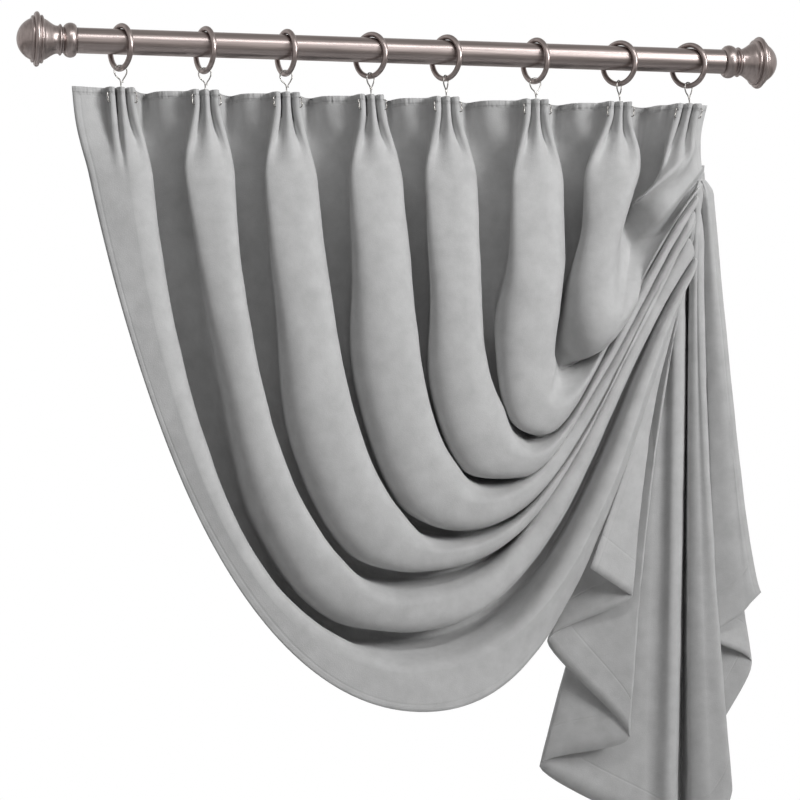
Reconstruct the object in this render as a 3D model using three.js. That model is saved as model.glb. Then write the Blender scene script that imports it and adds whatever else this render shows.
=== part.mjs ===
// A velvet blackout curtain with pinch pleats, swept aside as a swag with a falling tail,
// on its rod with ball finials, rings and wire pleat hooks.
// Millimetres, +Z up. The origin is on the rod's axis, midway between its ends;
// +X runs along the rod and the room is on the -Y side.
import * as THREE from 'three';

// Driving dimensions of the rod and its finials
const ROD_LENGTH = 745;
const ROD_RADIUS = 14;
const ROD_WALL = 1;
const FIT_GAP = 0.3;
const ROD_SIDES = 32;
const SPIGOT_LENGTH = 25;
const FINIAL_SIDES = 24;
const BALL_RADIUS = 24;
const BALL_CENTRE = 41.4;
const BALL_STEPS = 6;

// Driving dimensions of the rings and the pleat hooks
const RING_RADIUS = 23.5;
const RING_WIRE = 3;
const RING_STEPS = 20;
const RING_SIDES = 6;
const RING_SEAT_GAP = 0.4;
const HOOK_WIRE = 0.75;
const HOOK_SIDES = 6;
const HOOK_STEPS = 22;
const EYE_HALF_WIDTH = 7;
const EYE_HEIGHT = 17;
const STEM_SETBACK = 5;
const STEM_DEPTH = 16;

// Driving dimensions of the cloth
const CLOTH_THICKNESS = 2;
const HEADER_TOP = -50;
const HEADER_BAND = 30;
const PINCH_LENGTH = 12;
const PINCH_FADE = 84;
const FINGER_FRONT = -8;
const FINGER_BACK = 8;
const FLANK_COLUMN = 0.68;
const LONGEST_RUN = 95;
const VALLEY_SLOPE = 100;
const SLOPE_TO = 0.2;
const SLOPE_FADE = 0.3;
const LOW_FROM = 0.4;
const LOW_FADE = 0.5;
const SPREAD_TO = 0.25;
const FOLD_FORMED = 0.4;
const TURN_REACH = 9;
const TURN_RISE = 2;
const TURN_DROP = 18;

// One row for each pleat: where its ring stands on the rod, how far the ring and the hook's
// eye are turned about the vertical, in degrees
const PLEATS = [
  { x: -325, ringTurn: 22, eyeTurn: 5 },
  { x: -232, ringTurn: 16.5, eyeTurn: 5 },
  { x: -141, ringTurn: 15, eyeTurn: 5 },
  { x: -45, ringTurn: 33, eyeTurn: 42 },
  { x: 42, ringTurn: 27.5, eyeTurn: 54 },
  { x: 147, ringTurn: 20, eyeTurn: 15 },
  { x: 247, ringTurn: 34, eyeTurn: 50 },
  { x: 331, ringTurn: 34.7, eyeTurn: 35 },
];

// One row for each fold line of the cloth, from the leading edge to the fixed edge, with
// ridges and valleys in turn. A line hangs from its head, leans as it falls to its low
// point, rises to the gather, turns over there and falls again to the hem.
//   head    x, y at the top of the header
//   lean    sideways run for each millimetre of fall below the head
//   fall    how strongly the line keeps its first direction
//   roundness  how much of its roundness the fold keeps about its low point, 1 if not given
//   spread  how much wider than the other folds it is above its low point, 1 if not given
//   low     x, y, z of the lowest point of the swag
//   into    x, z of the curve's pull before the low point, from that point
//   outof   x, z of its pull after the low point, from that point
//   armY    depth half way up to the gather
//   gather  x, y, z where the line turns over
//   arrive  x, z of the curve's pull before the gather, from that point
//   top     x, y, z of the start of the tail
//   mid     x, y, z half way down the tail
//   hem     x, y, z of the end of the line
const FOLD_LINES = [
  { name: 'leading edge', head: [-378, -1], lean: 0.18, fall: 338, foldY: -26,
    low: [8, -52, -736], into: [-203, 0], outof: [201, 0], armY: 4,
    gather: [322, -10, -262], arrive: [-58, -156],
    top: [315, 2, -282], mid: [273, 0, -415], hem: [211, -4, -583] },
  { name: 'ridge 1', head: [-325, -8], lean: 0.08, fall: 399, foldY: -32,
    low: [-8, -48, -694], into: [-157, 0], outof: [212, 0], armY: -38,
    gather: [332, -12, -248], arrive: [-91, -153],
    top: [321, 4, -276], mid: [286, 5, -425], hem: [265, 6, -617] },
  { name: 'valley 1', head: [-286, 38], lean: 0.11, fall: 410, foldY: 44,
    low: [-3, 25, -662], into: [-148, 0], outof: [204, 0], armY: 16,
    gather: [335, 8, -227], arrive: [-112, -166],
    top: [326, 12, -270], mid: [275, 34, -449], hem: [176, 50, -671] },
  { name: 'ridge 2', head: [-232, -8], lean: 0.06, fall: 251, foldY: -32,
    low: [-14, -38, -620], into: [-145, 0], outof: [173, 0], armY: -25,
    gather: [331, -10, -217], arrive: [-143, -223],
    top: [330, 13, -266], mid: [292, 17, -483], hem: [265, 18, -781] },
  { name: 'valley 2', head: [-190, 38], lean: 0.1, fall: 195, foldY: 44,
    low: [-5, 26, -594], into: [-137, 0], outof: [186, 0], armY: 10,
    gather: [329, 8, -204], arrive: [-127, -220],
    top: [333, 26, -261], mid: [265, 56, -485], hem: [171, 64, -818] },
  { name: 'ridge 3', head: [-141, -8], lean: 0.04, fall: 177, foldY: -32,
    low: [27, -36, -562], into: [-129, 0], outof: [149, 0], armY: -20,
    gather: [333, -10, -193], arrive: [-110, -170],
    top: [324, 20, -274], mid: [303, 34, -485], hem: [291, 38, -887] },
  { name: 'valley 3', head: [-99, 38], lean: 0.14, fall: 140, foldY: 44,
    low: [56, 28, -545], into: [-129, 0], outof: [130, 0], armY: 10,
    gather: [335, 8, -186], arrive: [-75, -144],
    top: [326, 12, -275], mid: [325, 20, -484], hem: [317, 22, -900] },
  { name: 'ridge 4', head: [-45, -8], lean: 0.08, fall: 100, foldY: -32,
    low: [76, -34, -508], into: [-118, 0], outof: [87, 0], armY: -15,
    gather: [334, -10, -182], arrive: [-105, -202],
    top: [345, 44, -273], mid: [348, 60, -486], hem: [345, 66, -905] },
  { name: 'valley 4', head: [-9, 38], lean: 0.18, fall: 195, foldY: 44,
    low: [113, 30, -481], into: [-108, 0], outof: [67, 0], armY: 10,
    gather: [335, 8, -171], arrive: [-83, -149],
    top: [340, 16, -228], mid: [339, 22, -483], hem: [344, 24, -896] },
  { name: 'ridge 5', head: [42, -8], lean: 0.06, fall: 165, foldY: -32,
    low: [129, -30, -457], into: [-99, 10], outof: [62, -7], armY: -8,
    gather: [337, -8, -166], arrive: [-72, -98],
    top: [343, 6, -206], mid: [348, 13, -484], hem: [364, 12, -889] },
  { name: 'valley 5', head: [86, 38], lean: 0.22, fall: 150, foldY: 44,
    low: [140, 30, -427], into: [-54, 69], outof: [65, -12], armY: 12,
    gather: [340, 8, -155], arrive: [-81, -114],
    top: [349, 6, -211], mid: [359, 9, -483], hem: [387, 8, -845] },
  { name: 'ridge 6', head: [147, -8], lean: 0.03, fall: 176, foldY: -32,
    low: [162, -28, -401], into: [-56, -10], outof: [50, -8], armY: 2,
    gather: [341, 0, -151], arrive: [-72, -86],
    top: [358, 26, -199], mid: [368, 40, -485], hem: [375, 44, -796] },
  { name: 'valley 6', head: [195, 38], lean: 0.13, fall: 200, foldY: 44,
    roundness: 0.3, low: [184, 30, -355], into: [-27, 72], outof: [49, -4], armY: 16,
    gather: [346, 10, -147], arrive: [-50, -71],
    top: [359, 22, -181], mid: [392, 32, -485], hem: [421, 32, -702] },
  { name: 'ridge 7', head: [247, -8], lean: -0.05, fall: 60, foldY: -32,
    roundness: 0.65, spread: 1.35, low: [236, -30, -304], into: [-52, 0], outof: [31, 8],
    armY: 12,
    gather: [345, 8, -144], arrive: [-30, -64],
    top: [354, 14, -176], mid: [366, 22, -485], hem: [372, 24, -670] },
  { name: 'valley 7', head: [300, 38], lean: 0.02, fall: 110, foldY: 40,
    roundness: 0.3, low: [271, 34, -215], into: [-25, 70], outof: [8, -8], armY: 18,
    gather: [348, 12, -140], arrive: [-15, -41],
    top: [358, 6, -173], mid: [387, 11, -485], hem: [402, 12, -639] },
  { name: 'ridge 8', head: [331, -8], lean: -0.25, fall: 60, foldY: -24,
    roundness: 0.3, spread: 1.3, low: [304, -6, -170], into: [-15, 40], outof: [8, -8], armY: 15,
    gather: [348, 10, -138], arrive: [-13, -20],
    top: [360, 9, -164], mid: [394, 10, -485], hem: [413, 11, -626] },
  { name: 'fixed edge', head: [357, 10], lean: -0.04, fall: 12, foldY: 5,
    roundness: 0.3, low: [352, 5, -120], into: [0, 10], outof: [0, -4], armY: 9,
    gather: [355, 12, -134], arrive: [-1, 4],
    top: [367, 13, -159], mid: [401, 13, -485], hem: [425, 14, -616] },
];

// The pinched header of one pleat, seen from above: three fingers of cloth side by side.
//   share  place in the half pleat, 0 at its ridge and 1 at its valley
//   side   distance from the ridge along the rod
//   depth  0 at the front of the fingers and 1 at their back
const PINCH = [
  { share: 0, side: 0, depth: 0 },
  { share: 0.1, side: 5.5, depth: 1 },
  { share: 0.21, side: 11, depth: 0 },
  { share: 0.38, side: 16.5, depth: 1 },
];

// How strongly the cloth keeps its direction over its fold lines. Stage 0 is the header, 1
// the low points, 2 the gather, 3 the top of the tail and 4 its hem:
//   ridge   over a ridge, on the side of the leading edge and on the side of the fixed edge
//   valley  over a valley, on the flank of the ridge after it and of the ridge before it
//   turned  how far the cloth may turn out of the curtain's own plane there
const BREADTHS = [
  { stage: 0, ridge: [2.65, 2.4], valley: [3, 2.2], turned: 0 },
  { stage: 0.3, ridge: [2.3, 2.2], valley: [1.7, 1.7], turned: 0 },
  { stage: 0.55, ridge: [2.7, 2.2], valley: [0.6, 1.7], turned: 0 },
  { stage: 0.8, ridge: [2.7, 2.2], valley: [0.6, 1.7], turned: 0 },
  { stage: 0.97, ridge: [2.8, 0.8], valley: [1.8, 0.3], turned: 0 },
  { stage: 1.2, ridge: [2.9, 1], valley: [1.8, 0.3], turned: 0 },
  { stage: 1.5, ridge: [2.9, 2.4], valley: [1.2, 0.6], turned: 0 },
  { stage: 2, ridge: [2.4, 2.4], valley: [0.8, 0.8], turned: 0 },
  { stage: 3, ridge: [1.1, 1.1], valley: [1.1, 1.1], turned: 0 },
  { stage: 4, ridge: [0.55, 0.55], valley: [0.55, 0.55], turned: 0.4 },
];

// How many rows the mesh has on each stretch of the fold lines, and how the rows of a
// stretch are spaced: above 1 they are closer at its start
const STRETCHES = [
  { name: 'header', rows: 2, spacing: 1 },
  { name: 'fall', rows: 10, spacing: 1.25 },
  { name: 'arm', rows: 8, spacing: 1 },
  { name: 'turn', rows: 4, spacing: 1 },
  { name: 'tail', rows: 6, spacing: 1 },
];

const NICKEL = { color: 0x96908a, roughness: 0.32, metalness: 1 };
const STEEL = { color: 0xa9a8a6, roughness: 0.25, metalness: 1 };
const VELVET = { color: 0xb9bbbc, roughness: 0.95, metalness: 0 };

function addPiece(group, name, geometry, finish) {
  geometry.deleteAttribute('uv');
  const piece = new THREE.Mesh(geometry, new THREE.MeshStandardMaterial(finish));
  piece.name = name;
  group.add(piece);
  return piece;
}

// A half-round bead of a turned profile, from one end of its foot to the other
function beadPoints(start, end, footRadius, crestRadius, steps) {
  const points = [];
  for (let i = 0; i <= steps; i += 1) {
    const angle = (Math.PI * i) / steps;
    const along = (start + end) / 2 - ((end - start) / 2) * Math.cos(angle);
    points.push([footRadius + (crestRadius - footRadius) * Math.sin(angle), along]);
  }
  return points;
}

// The ball that closes the finial, from its step to its pole
function ballPoints(startRadius) {
  const first = Math.acos(startRadius / BALL_RADIUS);
  const points = [];
  for (let i = 0; i <= BALL_STEPS; i += 1) {
    const angle = first + ((Math.PI / 2 - first) * i) / BALL_STEPS;
    const radius = i === BALL_STEPS ? 0 : BALL_RADIUS * Math.cos(angle);
    points.push([radius, BALL_CENTRE + BALL_RADIUS * Math.sin(angle)]);
  }
  return points;
}

// The finial's turned outline: a spigot in the tube, a bead, a neck, an ogee, a broad
// half-round ring and the ball
function makeFinial() {
  const spigotRadius = ROD_RADIUS - ROD_WALL - FIT_GAP;
  const profile = [
    [0, -SPIGOT_LENGTH], [spigotRadius, -SPIGOT_LENGTH], [spigotRadius, FIT_GAP],
    ...beadPoints(FIT_GAP, 14.5, ROD_RADIUS, 19, 6),
    [14, 16], [17, 17.6], [15.3, 20], [15.3, 23.4], [19.2, 29.6], [22.8, 35.3], [26, 36.3],
    ...beadPoints(39.5, 45.5, 26, 30, 4),
    [25.5, 48.5],
    ...ballPoints(22.7),
  ];
  const outline = profile.map(([radius, along]) => new THREE.Vector2(radius, along));
  return new THREE.LatheGeometry(outline, FINIAL_SIDES);
}

function makeRod() {
  const inner = ROD_RADIUS - ROD_WALL;
  const half = ROD_LENGTH / 2;
  const outline = [
    new THREE.Vector2(inner, -half), new THREE.Vector2(ROD_RADIUS, -half),
    new THREE.Vector2(ROD_RADIUS, half), new THREE.Vector2(inner, half),
    new THREE.Vector2(inner, -half),
  ];
  return new THREE.LatheGeometry(outline, ROD_SIDES);
}

// The height of a ring's centre when it hangs on the rod, turned about the vertical
function ringHeight(turn) {
  const reach = ROD_RADIUS + RING_WIRE + RING_SEAT_GAP;
  let height = -RING_RADIUS;
  for (let degree = 0; degree <= 80; degree += 1) {
    const angle = THREE.MathUtils.degToRad(degree);
    const side = RING_RADIUS * Math.sin(angle) * Math.cos(turn);
    if (side < reach) {
      const needed = Math.sqrt(reach * reach - side * side) - RING_RADIUS * Math.cos(angle);
      height = Math.max(height, needed);
    }
  }
  return height;
}

// The hook's wire: up from behind the middle finger, once round the ring's wire in a
// pear-shaped eye and down again beside its own stem. The stem leans with its pleat and the
// eye is turned about the vertical.
function makeHook(eyeTop, lean, turn) {
  const stemY = FINGER_FRONT + STEM_SETBACK;
  const wide = EYE_HALF_WIDTH;
  const foot = eyeTop - EYE_HEIGHT;
  const eye = [
    [-0.6, foot + 1], [-0.75 * wide, foot + 5.5], [-wide, eyeTop - 6.5],
    [-0.75 * wide, eyeTop - 1.8], [0, eyeTop], [0.75 * wide, eyeTop - 1.8],
    [wide, eyeTop - 6.5], [0.75 * wide, foot + 5.5], [2.6, foot + 1], [2.2, foot - 2],
  ];
  const route = [
    [lean * STEM_DEPTH, stemY, HEADER_TOP - STEM_DEPTH], [0, stemY, HEADER_TOP],
    ...eye.map(([side, z]) => [side * Math.cos(turn), side * Math.sin(turn), z]),
  ];
  const curve = new THREE.CatmullRomCurve3(route.map((point) => new THREE.Vector3(...point)));
  const section = new THREE.Shape();
  for (let i = 0; i < HOOK_SIDES; i += 1) {
    const angle = (2 * Math.PI * i) / HOOK_SIDES;
    const point = [HOOK_WIRE * Math.cos(angle), HOOK_WIRE * Math.sin(angle)];
    if (i === 0) section.moveTo(...point);
    else section.lineTo(...point);
  }
  return new THREE.ExtrudeGeometry(section, { steps: HOOK_STEPS, extrudePath: curve });
}

function smooth(share) {
  const t = Math.min(1, Math.max(0, share));
  return t * t * (3 - 2 * t);
}

function mix(a, b, share) {
  return a + (b - a) * share;
}

// A point on the cubic curve with the given ends and pulls
function bezier(points, t) {
  const weights = [(1 - t) ** 3, 3 * (1 - t) ** 2 * t, 3 * (1 - t) * t * t, t ** 3];
  const result = [0, 0, 0];
  points.forEach((point, i) => {
    for (let axis = 0; axis < 3; axis += 1) result[axis] += weights[i] * point[axis];
  });
  return result;
}

// A point of one fold line, on one stretch, at t from 0 to 1
function linePoint(line, stretch, t) {
  const [headX, headY] = line.head;
  const bandX = headX + line.lean * HEADER_BAND;
  const bandZ = HEADER_TOP - HEADER_BAND;
  const [lowX, lowY, lowZ] = line.low;
  const [gatherX, gatherY, gatherZ] = line.gather;
  if (stretch === 'header') {
    const depth = HEADER_BAND * t;
    return [headX + line.lean * depth, headY, HEADER_TOP - depth];
  }
  if (stretch === 'fall') {
    const point = bezier([
      [bandX, 0, bandZ],
      [bandX + line.lean * line.fall, 0, bandZ - line.fall],
      [lowX + line.into[0], 0, lowZ + line.into[1]],
      [lowX, 0, lowZ],
    ], t);
    point[1] = t < FOLD_FORMED ? mix(headY, line.foldY, smooth(t / FOLD_FORMED))
      : mix(line.foldY, lowY, smooth((t - FOLD_FORMED) / (1 - FOLD_FORMED)));
    return point;
  }
  if (stretch === 'arm') {
    const point = bezier([
      [lowX, 0, lowZ],
      [lowX + line.outof[0], 0, lowZ + line.outof[1]],
      [gatherX + line.arrive[0], 0, gatherZ + line.arrive[1]],
      [gatherX, 0, gatherZ],
    ], t);
    point[1] = t < 0.5 ? mix(lowY, line.armY, smooth(t / 0.5))
      : mix(line.armY, gatherY, smooth((t - 0.5) / 0.5));
    return point;
  }
  if (stretch === 'turn') {
    const [topX, topY, topZ] = line.top;
    const reach = TURN_REACH / Math.hypot(...line.arrive);
    return bezier([
      line.gather,
      [gatherX - line.arrive[0] * reach, gatherY + TURN_RISE,
        gatherZ - line.arrive[1] * reach],
      [topX, topY, topZ + TURN_DROP],
      line.top,
    ], t);
  }
  const [top, mid, hem] = [line.top, line.mid, line.hem];
  return [0, 1, 2].map((axis) => {
    const pull = 2 * mid[axis] - (top[axis] + hem[axis]) / 2;
    return (1 - t) ** 2 * top[axis] + 2 * (1 - t) * t * pull + t * t * hem[axis];
  });
}

// The breadths for a place along the fold lines, between the two nearest rows of BREADTHS
function breadthAt(stretch, t) {
  const stage = { header: 0, fall: t, arm: 1 + t, turn: 2 + t, tail: 3 + t }[stretch];
  const later = BREADTHS.findIndex((row) => row.stage >= stage);
  const [a, b] = [BREADTHS[Math.max(0, later - 1)], BREADTHS[later]];
  const share = a === b ? 0 : smooth((stage - a.stage) / (b.stage - a.stage));
  const pair = (key) => [0, 1].map((i) => mix(a[key][i], b[key][i], share));
  return { ridge: pair('ridge'), valley: pair('valley'), turned: mix(a.turned, b.turned, share) };
}

// How much of the valleys' slope is left, less and less down the fall
function valleySlope(stretch, t) {
  return { header: 1, fall: 1 - smooth((t - SLOPE_TO) / SLOPE_FADE) }[stretch] ?? 0;
}

// How the cloth runs over a fold line, leaving it or arriving at it
function linePull(index, before, after, leaving, stretch, t) {
  const breadths = breadthAt(stretch, t);
  const isRidge = index % 2 === 1;
  const breadth = breadths[isRidge ? 'ridge' : 'valley'][isRidge === leaving ? 1 : 0];
  const low = { fall: smooth((t - LOW_FROM) / LOW_FADE), arm: 1 }[stretch] ?? 0;
  const high = { header: 1, fall: 1 - smooth((t - SPREAD_TO) / (1 - SPREAD_TO)) }[stretch] ?? 0;
  const { roundness = 1, spread = 1 } = FOLD_LINES[index];
  const run = [0, 1, 2].map((axis) => (
    (after[axis] - before[axis]) * (axis === 1 ? breadths.turned : 1)));
  const capped = Math.min(1, LONGEST_RUN / Math.hypot(...run))
    * mix(1, roundness, low) * mix(1, spread, high);
  const pull = run.map((value) => value * breadth * capped);
  const inside = index > 0 && index < FOLD_LINES.length - 1;
  if (!isRidge && inside) pull[1] -= VALLEY_SLOPE * valleySlope(stretch, t);
  return pull;
}

// The cloth between two neighbouring fold lines, rounded over each of them
function foldPoint(across, stretch, t) {
  const last = FOLD_LINES.length - 1;
  const index = Math.min(last - 1, Math.floor(across));
  const share = across - index;
  const at = (i) => linePoint(FOLD_LINES[Math.min(last, Math.max(0, i))], stretch, t);
  const [before, start, end, after] = [at(index - 1), at(index), at(index + 1), at(index + 2)];
  if (index === 0) return start.map((value, axis) => mix(value, end[axis], share));
  const startPull = linePull(index, before, end, true, stretch, t);
  const endPull = linePull(index + 1, start, after, false, stretch, t);
  const square = share * share;
  const cube = square * share;
  return [0, 1, 2].map((axis) => (
    (2 * cube - 3 * square + 1) * start[axis] + (3 * square - 2 * cube) * end[axis]
    + (cube - 2 * square + share) * startPull[axis] + (cube - square) * endPull[axis]
  ));
}

// The pinched header at a place across the cloth
function pinchPoint(across, depth) {
  const index = Math.round(across);
  const ridge = index % 2 === 1 ? index : index + (across >= index ? 1 : -1);
  const pleat = Math.min(FOLD_LINES.length - 2, Math.max(1, ridge));
  const line = FOLD_LINES[pleat];
  const offset = across - pleat;
  const share = Math.abs(offset);
  const sign = Math.sign(offset);
  const fingerY = (part) => mix(FINGER_FRONT, FINGER_BACK, part);
  const steps = PINCH.map((step) => ({
    share: step.share, x: line.head[0] + sign * step.side, y: fingerY(step.depth),
  }));
  const edge = FOLD_LINES[pleat + (sign < 0 ? -1 : 1)];
  steps.push({ share: 1, x: edge.head[0], y: edge.head[1] });
  let next = steps.findIndex((step) => step.share >= share);
  next = Math.max(1, next);
  const [from, to] = [steps[next - 1], steps[next]];
  const part = (share - from.share) / (to.share - from.share);
  return [mix(from.x, to.x, part) + line.lean * depth, mix(from.y, to.y, part),
    HEADER_TOP - depth];
}

function clothPoint(across, stretch, t) {
  const point = foldPoint(across, stretch, t);
  const depth = HEADER_TOP - point[2];
  const pinch = 1 - smooth((depth - PINCH_LENGTH) / PINCH_FADE);
  if (pinch <= 0 || (stretch !== 'header' && stretch !== 'fall')) return point;
  const pinched = pinchPoint(across, depth);
  return point.map((value, axis) => (axis === 2 ? value : mix(value, pinched[axis], pinch)));
}

// Where the mesh's columns lie across the cloth, in fold-line numbers
function clothColumns() {
  const columns = [];
  const last = FOLD_LINES.length - 1;
  for (let ridge = 1; ridge < last; ridge += 2) {
    columns.push(ridge - 1, ridge - FLANK_COLUMN);
    for (let i = PINCH.length - 1; i > 0; i -= 1) columns.push(ridge - PINCH[i].share);
    for (let i = 0; i < PINCH.length; i += 1) columns.push(ridge + PINCH[i].share);
    columns.push(ridge + FLANK_COLUMN);
  }
  columns.push(last);
  return columns;
}

function clothRows() {
  const rows = [];
  STRETCHES.forEach(({ name, rows: count, spacing }) => {
    for (let i = rows.length ? 1 : 0; i <= count; i += 1) {
      rows.push({ stretch: name, t: (i / count) ** spacing });
    }
  });
  return rows;
}

// The unit normal at each grid point, lengthened where the cloth bends sharply so that
// the sheet keeps its thickness
function gridNormals(grid) {
  const corner = new THREE.Vector3();
  return grid.map((row, r) => row.map((point, c) => {
    const faces = [];
    [[1, 0, 0, 1], [0, 1, -1, 0], [-1, 0, 0, -1], [0, -1, 1, 0]].forEach(([ra, ca, rb, cb]) => {
      const a = grid[r + ra]?.[c + ca];
      const b = grid[r + rb]?.[c + cb];
      if (!a || !b) return;
      corner.crossVectors(a.clone().sub(point), b.clone().sub(point));
      if (corner.length() > 1e-6) faces.push(corner.clone().normalize());
    });
    const normal = new THREE.Vector3();
    faces.forEach((face) => normal.add(face));
    normal.normalize();
    const facing = faces.reduce((sum, face) => sum + face.dot(normal), 0) / faces.length;
    return normal.divideScalar(Math.max(0.6, facing));
  }));
}

// A closed solid from the cloth's middle surface: a front, a back and a rim
function makeCurtain() {
  const columns = clothColumns();
  const rows = clothRows();
  const grid = rows.map(({ stretch, t }) => (
    columns.map((across) => new THREE.Vector3(...clothPoint(across, stretch, t)))));
  const normals = gridNormals(grid);
  const positions = [];
  const half = CLOTH_THICKNESS / 2;
  [half, -half].forEach((offset) => {
    grid.forEach((row, r) => row.forEach((point, c) => {
      positions.push(...point.clone().addScaledVector(normals[r][c], offset).toArray());
    }));
  });
  const [height, width] = [rows.length, columns.length];
  const front = (r, c) => r * width + c;
  const back = (r, c) => height * width + r * width + c;
  const indices = [];
  const quad = (a, b, c, d) => indices.push(a, b, c, a, c, d);
  for (let r = 0; r < height - 1; r += 1) {
    for (let c = 0; c < width - 1; c += 1) {
      quad(front(r, c), front(r + 1, c), front(r + 1, c + 1), front(r, c + 1));
      quad(back(r, c), back(r, c + 1), back(r + 1, c + 1), back(r + 1, c));
    }
  }
  for (let r = 0; r < height - 1; r += 1) {
    quad(front(r, 0), back(r, 0), back(r + 1, 0), front(r + 1, 0));
    const c = width - 1;
    quad(front(r, c), front(r + 1, c), back(r + 1, c), back(r, c));
  }
  for (let c = 0; c < width - 1; c += 1) {
    quad(front(0, c), front(0, c + 1), back(0, c + 1), back(0, c));
    const r = height - 1;
    quad(front(r, c), back(r, c), back(r, c + 1), front(r, c + 1));
  }
  const geometry = new THREE.BufferGeometry();
  geometry.setAttribute('position', new THREE.Float32BufferAttribute(positions, 3));
  geometry.setIndex(indices);
  return geometry;
}

const curtainSet = new THREE.Group();
curtainSet.name = 'curtain_set';

const rod = addPiece(curtainSet, 'rod', makeRod(), NICKEL);
rod.rotation.z = -Math.PI / 2;
[['finial_left', -1], ['finial_right', 1]].forEach(([name, side]) => {
  const finial = addPiece(curtainSet, name, makeFinial(), NICKEL);
  finial.rotation.z = (-side * Math.PI) / 2;
  finial.position.x = (side * ROD_LENGTH) / 2;
});

PLEATS.forEach(({ x, ringTurn, eyeTurn }, i) => {
  const turn = THREE.MathUtils.degToRad(ringTurn);
  const height = ringHeight(turn);
  const ringShape = new THREE.TorusGeometry(RING_RADIUS, RING_WIRE, RING_SIDES, RING_STEPS);
  ringShape.rotateX(Math.PI / 2);
  const ring = addPiece(curtainSet, `ring_${i + 1}`, ringShape, NICKEL);
  ring.rotation.z = Math.PI / 2 + turn;
  ring.position.set(x, 0, height);

  const eyeTop = height - RING_RADIUS + RING_WIRE + HOOK_WIRE + FIT_GAP;
  const { lean } = FOLD_LINES[2 * i + 1];
  const hookShape = makeHook(eyeTop, lean, THREE.MathUtils.degToRad(eyeTurn));
  const hook = addPiece(curtainSet, `hook_${i + 1}`, hookShape, STEEL);
  hook.position.set(x, 0, 0);
});

addPiece(curtainSet, 'curtain', makeCurtain(), VELVET);

export default curtainSet;
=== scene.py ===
# %% [markdown]
# # A velvet curtain swept into a swag
#
# We dress a pinch-pleated velvet blackout curtain that hangs from rings on a metal rod. Its
# long side is swept up to the right, gathered behind the last pleat and left to fall as a
# tail. The imported CAD part gives every place and size, in metres, so we load it first and
# read the boxes of its pieces from it.

import math

import bpy
import numpy as np
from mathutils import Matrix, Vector


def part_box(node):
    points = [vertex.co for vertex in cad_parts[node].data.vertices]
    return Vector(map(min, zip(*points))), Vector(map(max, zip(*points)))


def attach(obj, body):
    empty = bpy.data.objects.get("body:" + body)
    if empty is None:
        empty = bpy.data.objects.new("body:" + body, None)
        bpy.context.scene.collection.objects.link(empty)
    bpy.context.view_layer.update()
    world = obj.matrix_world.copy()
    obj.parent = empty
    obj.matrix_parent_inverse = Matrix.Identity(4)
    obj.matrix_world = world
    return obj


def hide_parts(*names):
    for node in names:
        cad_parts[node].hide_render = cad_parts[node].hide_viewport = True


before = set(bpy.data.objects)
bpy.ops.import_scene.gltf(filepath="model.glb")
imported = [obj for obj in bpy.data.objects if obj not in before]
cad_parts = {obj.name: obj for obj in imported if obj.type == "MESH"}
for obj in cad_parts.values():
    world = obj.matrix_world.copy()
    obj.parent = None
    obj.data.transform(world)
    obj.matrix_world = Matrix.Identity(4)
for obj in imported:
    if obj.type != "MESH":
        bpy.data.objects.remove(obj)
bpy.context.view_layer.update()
bpy.ops.object.select_all(action="DESELECT")

MM = 0.001

# %% [markdown]
# ## Colours and nodes
#
# A maker gives a colour as an sRGB hex value, as a paint chart does. Blender's shaders work
# with linear light, so one function turns the one into the other. A second function adds a
# node with its settings and its links, and every material below is written with it.

# %% Colour and node helpers
def colour(hex_value):
    """An sRGB hex colour as linear red, green, blue and alpha."""
    channels = [int(hex_value[i:i + 2], 16) / 255 for i in (1, 3, 5)]
    return [c / 12.92 if c <= 0.04045 else ((c + 0.055) / 1.055) ** 2.4
            for c in channels] + [1]


def add_node(tree, kind, settings=None, inputs=None):
    """Adds a node. An input's value is a number, a colour or another node's output."""
    node = tree.nodes.new(kind)
    for name, value in (settings or {}).items():
        setattr(node, name, value)
    for name, value in (inputs or {}).items():
        if isinstance(value, bpy.types.NodeSocket):
            tree.links.new(value, node.inputs[name])
        else:
            node.inputs[name].default_value = value
    return node


def new_material(name):
    """A material with an empty Principled shader; returns it, its tree and the shader."""
    material = bpy.data.materials.new(name)
    material.use_nodes = True
    return material, material.node_tree, material.node_tree.nodes["Principled BSDF"]


def ramp(tree, value, stops):
    """A colour ramp with the given stops of place and sRGB hex colour."""
    node = add_node(tree, "ShaderNodeValToRGB", inputs={"Fac": value})
    elements = node.color_ramp.elements
    while len(elements) < len(stops):
        elements.new(1.0)
    for element, (place, hex_value) in zip(elements, stops):
        element.position = place
        element.color = colour(hex_value)
    return node.outputs["Color"]


# %% [markdown]
# ## Brushed nickel
#
# The rod, the finials and the rings are steel with a plate of satin nickel. The brush leaves
# fine lines, about 0.2 mm apart, along the rod and round the turned parts. They spread each
# highlight into a soft band. The lines are too fine to show one by one at this size, so the
# noise that stands for them is 2 mm wide and changes the roughness a little.

# %% Brushed nickel material
BRUSH_LINE = 2 * MM


def brushed_nickel(name, stretch):
    """Satin nickel plate with brush lines; stretch is how far they run along X, Y and Z."""
    material, tree, shader = new_material(name)
    place = add_node(tree, "ShaderNodeTexCoord").outputs["Object"]
    drawn = add_node(tree, "ShaderNodeMapping", inputs={"Vector": place, "Scale": stretch})
    lines = add_node(tree, "ShaderNodeTexNoise", inputs={
        "Vector": drawn.outputs["Vector"], "Scale": 1 / BRUSH_LINE, "Detail": 3})
    plate = ramp(tree, lines.outputs["Fac"], [(0.3, "#938987"), (0.7, "#A89D9A")])
    rough = add_node(tree, "ShaderNodeMapRange", inputs={
        "Value": lines.outputs["Fac"], "To Min": 0.27, "To Max": 0.35})
    tree.links.new(plate, shader.inputs["Base Color"])
    tree.links.new(rough.outputs["Result"], shader.inputs["Roughness"])
    shader.inputs["Metallic"].default_value = 1.0
    return material


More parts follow.
